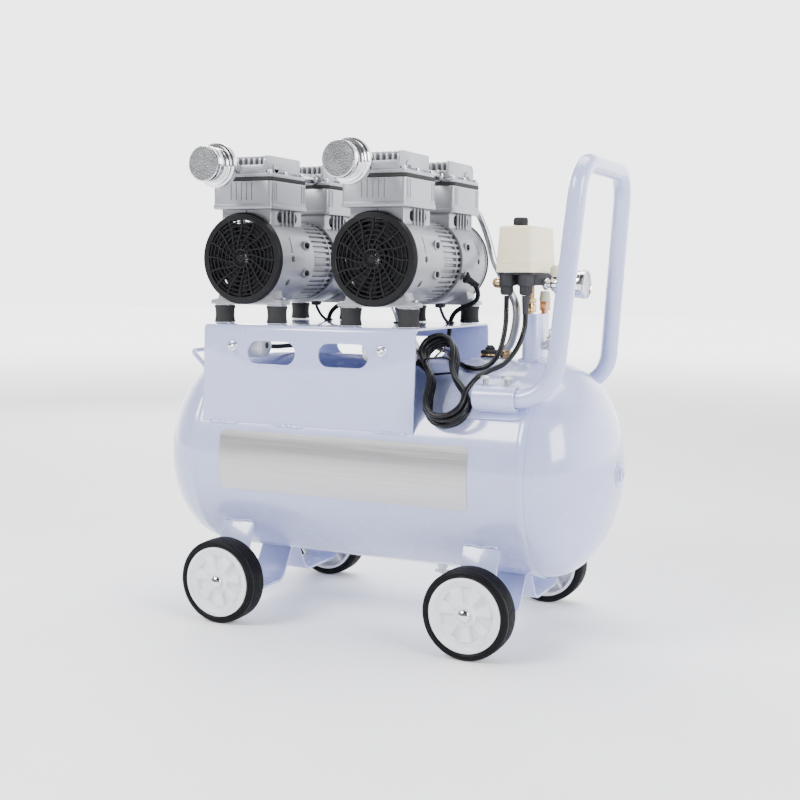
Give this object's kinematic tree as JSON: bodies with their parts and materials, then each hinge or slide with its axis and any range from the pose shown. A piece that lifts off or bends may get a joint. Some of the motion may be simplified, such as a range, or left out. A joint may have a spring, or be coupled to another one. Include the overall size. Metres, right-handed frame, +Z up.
{
  "type": "air compressor",
  "caption": "Oil-free workshop air compressor: motor pumps on a sheet platform over a wheeled horizontal air tank, with push handle, pressure switch and gauge.",
  "frame": {"origin": "middle of the footprint at floor level, under the centre of the whole machine", "axes": "+X along the tank towards the handle, +Y from the intake-filter side to the back, +Z up"},
  "size_m": [0.698, 0.392, 0.6793],
  "materials": {
    "lavender_paint": "pale lavender-white gloss powder coat",
    "cast_aluminium": "silver-painted die casting, fine grain",
    "black_plastic": "moulded black plastic, satin",
    "black_rubber": "matt moulded rubber",
    "tyre_rubber": "ribbed solid tyre",
    "white_plastic": "white moulded plastic",
    "ivory_plastic": "ivory moulded plastic, fine grain",
    "chrome": "bright plated",
    "bright_steel": "zinc-plated steel",
    "dark_steel": "dark ground steel",
    "cord_rubber": "black cable sheath, satin"
  },
  "bodies": {
    "frame": {"capacitor_left": "white_plastic", "capacitor_right": "white_plastic", "discharge_pipe_left": "bright_steel", "discharge_pipe_right": "bright_steel", "foot_bracket_left": "lavender_paint", "foot_bracket_right": "lavender_paint", "handle_bracket": "lavender_paint", "mains_hank": "cord_rubber", "mains_lead": "cord_rubber", "mains_plug": "cord_rubber", "manifold_column": "lavender_paint", "motor_lead_left": "cord_rubber", "motor_lead_right": "cord_rubber", "mount_left_1": "black_rubber", "mount_left_2": "black_rubber", "mount_left_3": "black_rubber", "mount_left_4": "black_rubber", "mount_right_1": "black_rubber", "mount_right_2": "black_rubber", "mount_right_3": "black_rubber", "mount_right_4": "black_rubber", "pressure_gauge": "chrome", "pump_left_fan_cover": "black_plastic", "pump_left_front_casting": "cast_aluminium", "pump_left_front_head": "cast_aluminium", "pump_left_intake_filter": "chrome", "pump_left_rear_casting": "cast_aluminium", "pump_left_rear_head": "cast_aluminium", "pump_left_stator": "cast_aluminium", "pump_platform": "lavender_paint", "pump_right_fan_cover": "black_plastic", "pump_right_front_casting": "cast_aluminium", "pump_right_front_head": "cast_aluminium", "pump_right_intake_filter": "chrome", "pump_right_rear_casting": "cast_aluminium", "pump_right_rear_head": "cast_aluminium", "pump_right_stator": "cast_aluminium", "regulator_body": "chrome", "switch_base": "black_plastic", "switch_cover": "ivory_plastic", "tank": "lavender_paint"},
    "wheel_front_left": {"tyre_front_left": "tyre_rubber", "hub_front_left": "white_plastic"},
    "wheel_rear_left": {"tyre_rear_left": "tyre_rubber", "hub_rear_left": "white_plastic"},
    "wheel_front_right": {"tyre_front_right": "tyre_rubber", "hub_front_right": "white_plastic"},
    "wheel_rear_right": {"tyre_rear_right": "tyre_rubber", "hub_rear_right": "white_plastic"},
    "handle_body": {"handle": "lavender_paint"},
    "rotor_left": {"pump_left_rotor": "dark_steel"},
    "rotor_right": {"pump_right_rotor": "dark_steel"},
    "screw_1": {"clamp_screw_1": "bright_steel"},
    "screw_2": {"clamp_screw_2": "bright_steel"},
    "screw_3": {"clamp_screw_3": "bright_steel"},
    "screw_4": {"clamp_screw_4": "bright_steel"},
    "pressure_switch_knob": {"switch_knob": "black_plastic"},
    "regulator_knob_body": {"regulator_knob": "ivory_plastic"},
    "safety_valve_body": {"safety_valve": "bright_steel"},
    "drain_valve_body": {"drain_valve": "bright_steel"}
  },
  "joints": [
    {"name": "wheel_front_left_roll", "type": "hinge", "parent": "frame", "child": "wheel_front_left", "pos_m": [-0.191, -0.151, 0.0607], "axis": [0, 1, 0], "continuous": true},
    {"name": "wheel_rear_left_roll", "type": "hinge", "parent": "frame", "child": "wheel_rear_left", "pos_m": [-0.191, 0.173, 0.0607], "axis": [0, 1, 0], "continuous": true},
    {"name": "wheel_front_right_roll", "type": "hinge", "parent": "frame", "child": "wheel_front_right", "pos_m": [0.191, -0.151, 0.0607], "axis": [0, 1, 0], "continuous": true},
    {"name": "wheel_rear_right_roll", "type": "hinge", "parent": "frame", "child": "wheel_rear_right", "pos_m": [0.191, 0.173, 0.0607], "axis": [0, 1, 0], "continuous": true},
    {"name": "pump_left_spin", "type": "hinge", "parent": "frame", "child": "rotor_left", "pos_m": [-0.1753, 0.011, 0.5216], "axis": [0, 1, 0], "continuous": true},
    {"name": "pump_right_spin", "type": "hinge", "parent": "frame", "child": "rotor_right", "pos_m": [0.0323, 0.011, 0.5216], "axis": [0, 1, 0], "continuous": true},
    {"name": "handle_slide", "type": "slide", "parent": "frame", "child": "handle_body", "axis": [1, 0, 0], "range_m": [0, 0.03]},
    {"name": "clamp_screw_1_turn", "type": "hinge", "parent": "frame", "child": "screw_1", "pos_m": [0.196, -0.1165, 0.36], "axis": [0, 0, 1], "continuous": true},
    {"name": "clamp_screw_2_turn", "type": "hinge", "parent": "frame", "child": "screw_2", "pos_m": [0.226, -0.1165, 0.36], "axis": [0, 0, 1], "continuous": true},
    {"name": "clamp_screw_3_turn", "type": "hinge", "parent": "frame", "child": "screw_3", "pos_m": [0.196, 0.1385, 0.36], "axis": [0, 0, 1], "continuous": true},
    {"name": "clamp_screw_4_turn", "type": "hinge", "parent": "frame", "child": "screw_4", "pos_m": [0.226, 0.1385, 0.36], "axis": [0, 0, 1], "continuous": true},
    {"name": "switch_knob_pull", "type": "slide", "parent": "frame", "child": "pressure_switch_knob", "axis": [0, 0, 1], "range_m": [0, 0.005]},
    {"name": "regulator_turn", "type": "hinge", "parent": "frame", "child": "regulator_knob_body", "pos_m": [0.252, 0.011, 0.51], "axis": [0, 0, 1], "range_deg": [-180, 180]},
    {"name": "safety_valve_lift", "type": "slide", "parent": "frame", "child": "safety_valve_body", "axis": [0, 0, 1], "range_m": [0, 0.0025], "stiffness_N_per_m": 2000},
    {"name": "drain_valve_turn", "type": "hinge", "parent": "frame", "child": "drain_valve_body", "pos_m": [0.0845, 0.011, 0.07], "axis": [0, 0, 1], "range_deg": [0, 90]}
  ]
}
